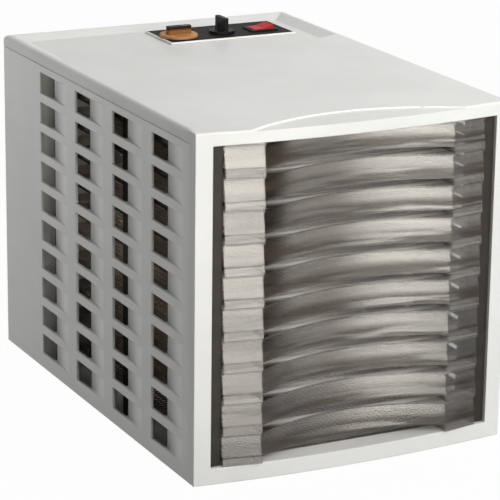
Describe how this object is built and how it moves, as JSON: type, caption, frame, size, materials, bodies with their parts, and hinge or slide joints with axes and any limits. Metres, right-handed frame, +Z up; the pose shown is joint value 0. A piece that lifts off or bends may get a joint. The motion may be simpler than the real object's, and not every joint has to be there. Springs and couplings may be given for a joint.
{
  "type": "food dehydrator",
  "caption": "Cabinet food dehydrator with louvred sides, a bowed front frame, stacked pull-out mesh trays with hollow grips, a rear fan and heater, and top controls.",
  "frame": {"origin": "middle of the footprint, on the surface that the feet stand on", "axes": "+Z up, the tray front faces -Y, +X to the right seen from the front"},
  "size_m": [0.36, 0.524, 0.385],
  "materials": {
    "cabinet_white": "smooth, semi-gloss",
    "rack_black": "satin",
    "foot_rubber": "matte",
    "sheet_steel": "plain sheet",
    "screw_steel": "plain",
    "motor_metal": "satin",
    "bush_brass": "plain",
    "fan_plastic": "satin",
    "element_sheath": "dull",
    "panel_dark": "smooth, semi-gloss",
    "dial_orange": "smooth",
    "grip_brown": "satin",
    "rocker_red": "smooth",
    "tray_smoke": "smoked, glossy",
    "mesh_grey": "satin"
  },
  "bodies": {
    "cabinet": {"front_bezel": "cabinet_white", "left_side_panel": "cabinet_white", "right_side_panel": "cabinet_white", "top_cover": "cabinet_white", "base_pan": "cabinet_white", "rear_panel": "cabinet_white", "left_tray_rack": "rack_black", "right_tray_rack": "rack_black", "left_tray_ledges": "rack_black", "right_tray_ledges": "rack_black", "fan_guard": "rack_black", "terminal_block": "rack_black", "timer_body": "rack_black", "switch_housing": "rack_black", "mains_inlet": "rack_black", "rubber_feet": "foot_rubber", "fan_bulkhead": "sheet_steel", "motor_bracket": "sheet_steel", "element_clips": "sheet_steel", "element_terminal_plate": "sheet_steel", "thermal_cutout": "sheet_steel", "thermostat_body": "sheet_steel", "panel_screws": "screw_steel", "bracket_screws": "screw_steel", "switch_pin": "screw_steel", "motor_housing": "motor_metal", "motor_bushes": "bush_brass", "heating_element": "element_sheath", "console_panel": "panel_dark"},
    "fan": {"fan_impeller": "fan_plastic", "motor_shaft": "screw_steel", "motor_rotor": "motor_metal"},
    "thermostat_control": {"thermostat_shaft": "screw_steel", "thermostat_dial": "dial_orange", "thermostat_grip": "grip_brown"},
    "timer_control": {"timer_shaft": "screw_steel", "timer_knob": "rack_black"},
    "rocker": {"switch_rocker": "rocker_red"},
    "tray_01": {"tray_frame_01": "tray_smoke", "tray_mesh_01": "mesh_grey"},
    "tray_02": {"tray_frame_02": "tray_smoke", "tray_mesh_02": "mesh_grey"},
    "tray_03": {"tray_frame_03": "tray_smoke", "tray_mesh_03": "mesh_grey"},
    "tray_04": {"tray_frame_04": "tray_smoke", "tray_mesh_04": "mesh_grey"},
    "tray_05": {"tray_frame_05": "tray_smoke", "tray_mesh_05": "mesh_grey"},
    "tray_06": {"tray_frame_06": "tray_smoke", "tray_mesh_06": "mesh_grey"},
    "tray_07": {"tray_frame_07": "tray_smoke", "tray_mesh_07": "mesh_grey"},
    "tray_08": {"tray_frame_08": "tray_smoke", "tray_mesh_08": "mesh_grey"},
    "tray_09": {"tray_frame_09": "tray_smoke", "tray_mesh_09": "mesh_grey"},
    "tray_10": {"tray_frame_10": "tray_smoke", "tray_mesh_10": "mesh_grey"}
  },
  "joints": [
    {"name": "tray_01_slide", "type": "slide", "parent": "cabinet", "child": "tray_01", "axis": [0, -1, 0], "range_m": [0, 0.35]},
    {"name": "tray_02_slide", "type": "slide", "parent": "cabinet", "child": "tray_02", "axis": [0, -1, 0], "range_m": [0, 0.35]},
    {"name": "tray_03_slide", "type": "slide", "parent": "cabinet", "child": "tray_03", "axis": [0, -1, 0], "range_m": [0, 0.35]},
    {"name": "tray_04_slide", "type": "slide", "parent": "cabinet", "child": "tray_04", "axis": [0, -1, 0], "range_m": [0, 0.35]},
    {"name": "tray_05_slide", "type": "slide", "parent": "cabinet", "child": "tray_05", "axis": [0, -1, 0], "range_m": [0, 0.35]},
    {"name": "tray_06_slide", "type": "slide", "parent": "cabinet", "child": "tray_06", "axis": [0, -1, 0], "range_m": [0, 0.35]},
    {"name": "tray_07_slide", "type": "slide", "parent": "cabinet", "child": "tray_07", "axis": [0, -1, 0], "range_m": [0, 0.35]},
    {"name": "tray_08_slide", "type": "slide", "parent": "cabinet", "child": "tray_08", "axis": [0, -1, 0], "range_m": [0, 0.35]},
    {"name": "tray_09_slide", "type": "slide", "parent": "cabinet", "child": "tray_09", "axis": [0, -1, 0], "range_m": [0, 0.35]},
    {"name": "tray_10_slide", "type": "slide", "parent": "cabinet", "child": "tray_10", "axis": [0, -1, 0], "range_m": [0, 0.35]},
    {"name": "fan_spin", "type": "hinge", "parent": "cabinet", "child": "fan", "pos_m": [0, 0.19, 0.188], "axis": [0, 1, 0], "continuous": true},
    {"name": "thermostat_turn", "type": "hinge", "parent": "cabinet", "child": "thermostat_control", "pos_m": [0.007, 0.19, 0.37], "axis": [0, 0, -1], "range_deg": [0, 270]},
    {"name": "timer_turn", "type": "hinge", "parent": "cabinet", "child": "timer_control", "pos_m": [0.062, 0.19, 0.37], "axis": [0, 0, -1], "range_deg": [0, 300]},
    {"name": "rocker_tip", "type": "hinge", "parent": "cabinet", "child": "rocker", "pos_m": [0.112, 0.19, 0.3668], "axis": [0, 1, 0], "range_deg": [0, 20]}
  ]
}
